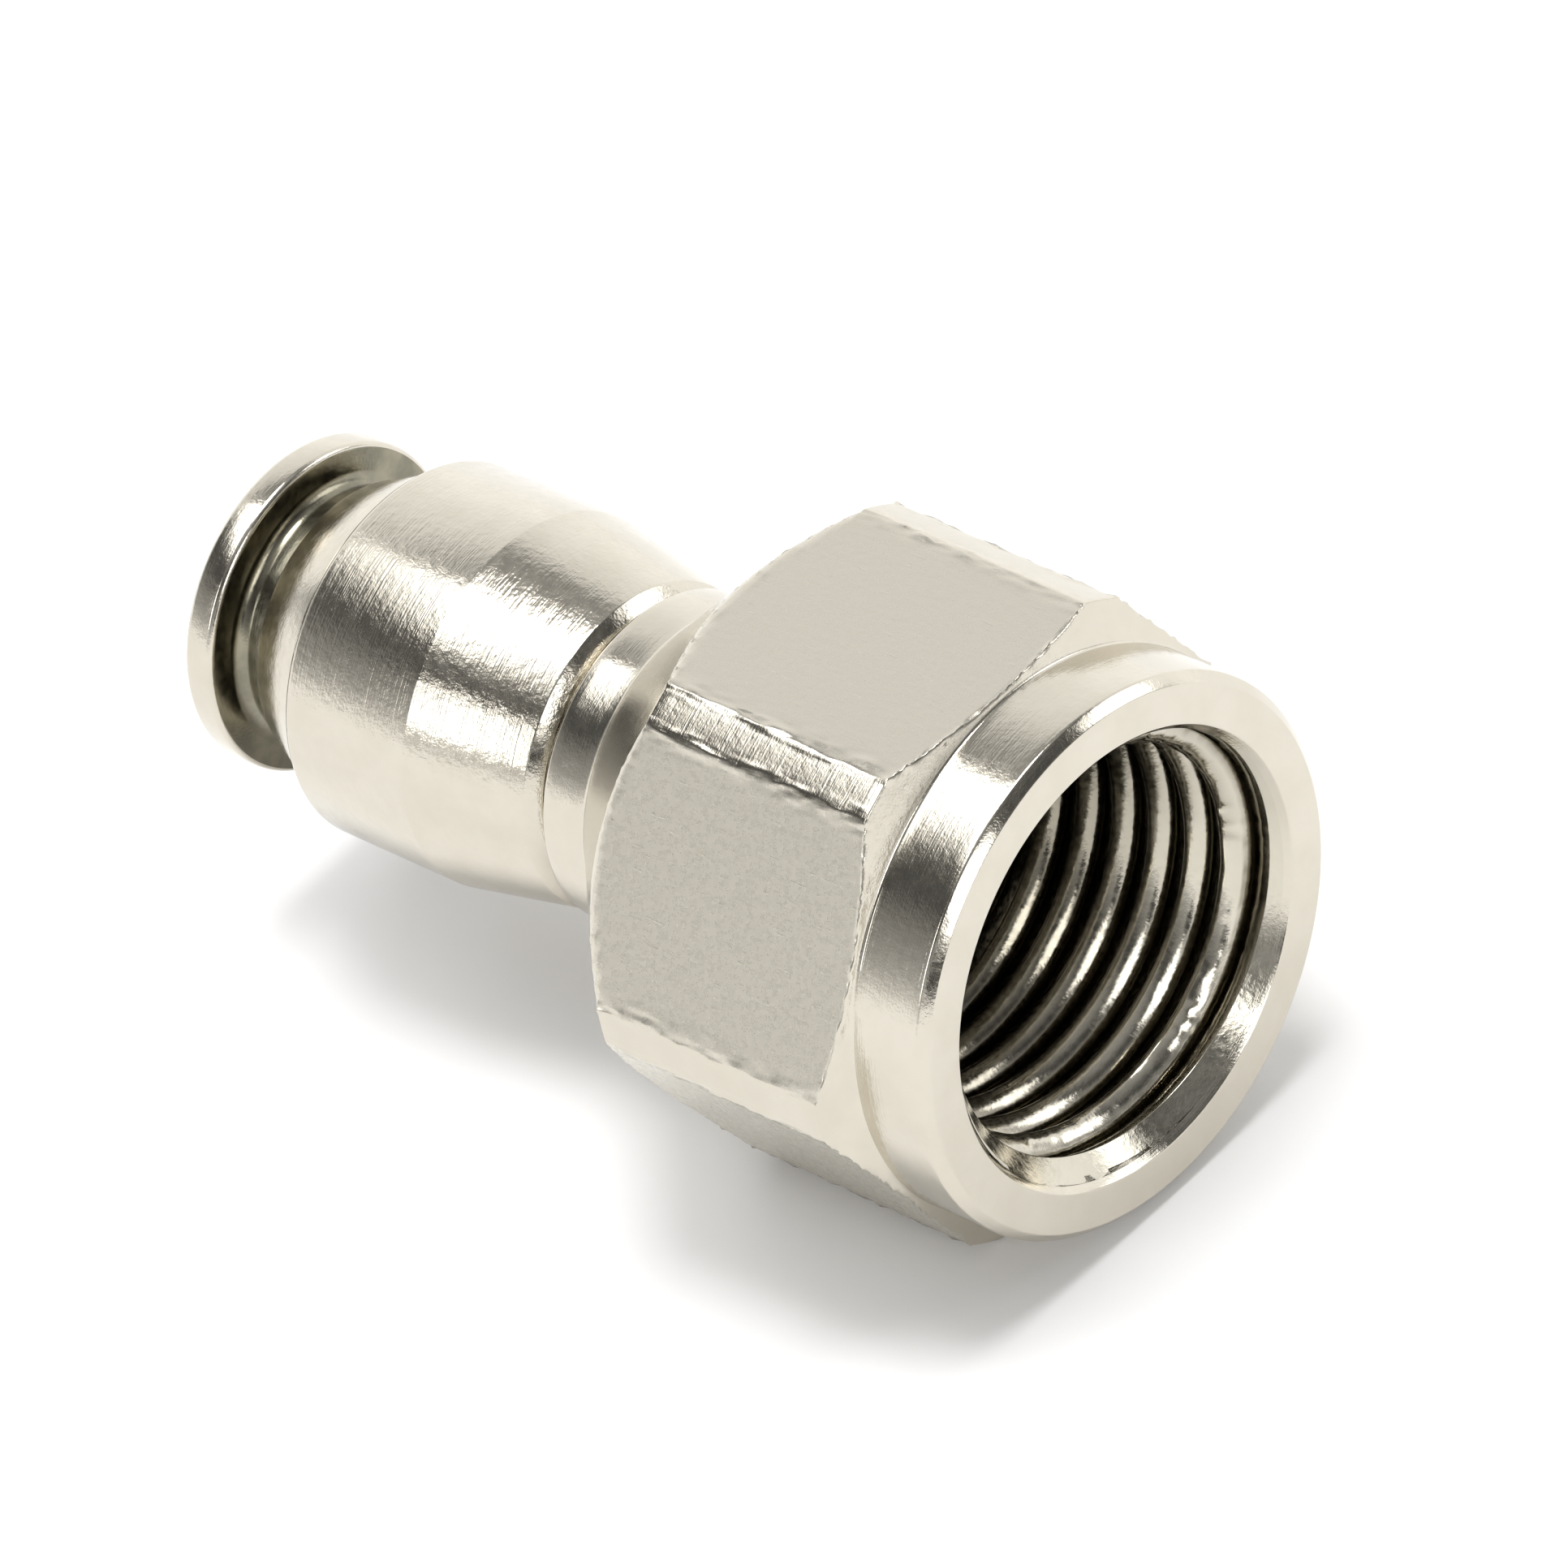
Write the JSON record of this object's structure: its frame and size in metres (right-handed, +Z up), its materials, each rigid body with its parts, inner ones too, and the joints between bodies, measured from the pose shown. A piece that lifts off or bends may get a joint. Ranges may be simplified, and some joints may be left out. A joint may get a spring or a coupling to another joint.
{
  "type": "push to connect fitting",
  "caption": "Nickel-plated push-to-connect tube fitting with a release ring and swivelling sleeve at one end and a hexagon with a female pipe thread at the other.",
  "frame": {"origin": "point where the fitting's axis meets the flat end face round the female thread", "axes": "+X along the axis and out of the female thread, so the tube end is towards -X; +Z up, square to one flat of the hexagon, with the part lying on the opposite flat"},
  "size_m": [0.0311, 0.0188, 0.017],
  "materials": {
    "nickel_body": "nickel plated, tumbled flats and turned bands",
    "nickel_sleeve": "nickel plated, tumbled",
    "nickel_bush": "nickel plated, turned",
    "nickel_ring": "nickel plated, turned and polished",
    "spring_steel": "stainless spring steel",
    "bare_brass": "turned, unplated",
    "seal_rubber": "moulded nitrile rubber"
  },
  "bodies": {
    "hex_body": {"body": "nickel_body", "swivel_wire_ring": "spring_steel"},
    "sleeve": {"swivel_sleeve": "nickel_sleeve", "guide_bush": "nickel_bush", "grab_ring": "spring_steel", "spacer_ring": "bare_brass", "tube_seal": "seal_rubber", "swivel_seal": "seal_rubber"},
    "ring": {"release_ring": "nickel_ring"}
  },
  "joints": [
    {"name": "sleeve_swivel", "type": "hinge", "parent": "hex_body", "child": "sleeve", "pos_m": [-0.02, 0, 0], "axis": [1, 0, 0], "continuous": true},
    {"name": "release_slide", "type": "slide", "parent": "sleeve", "child": "ring", "axis": [1, 0, 0], "range_m": [0, 0.0009]}
  ]
}
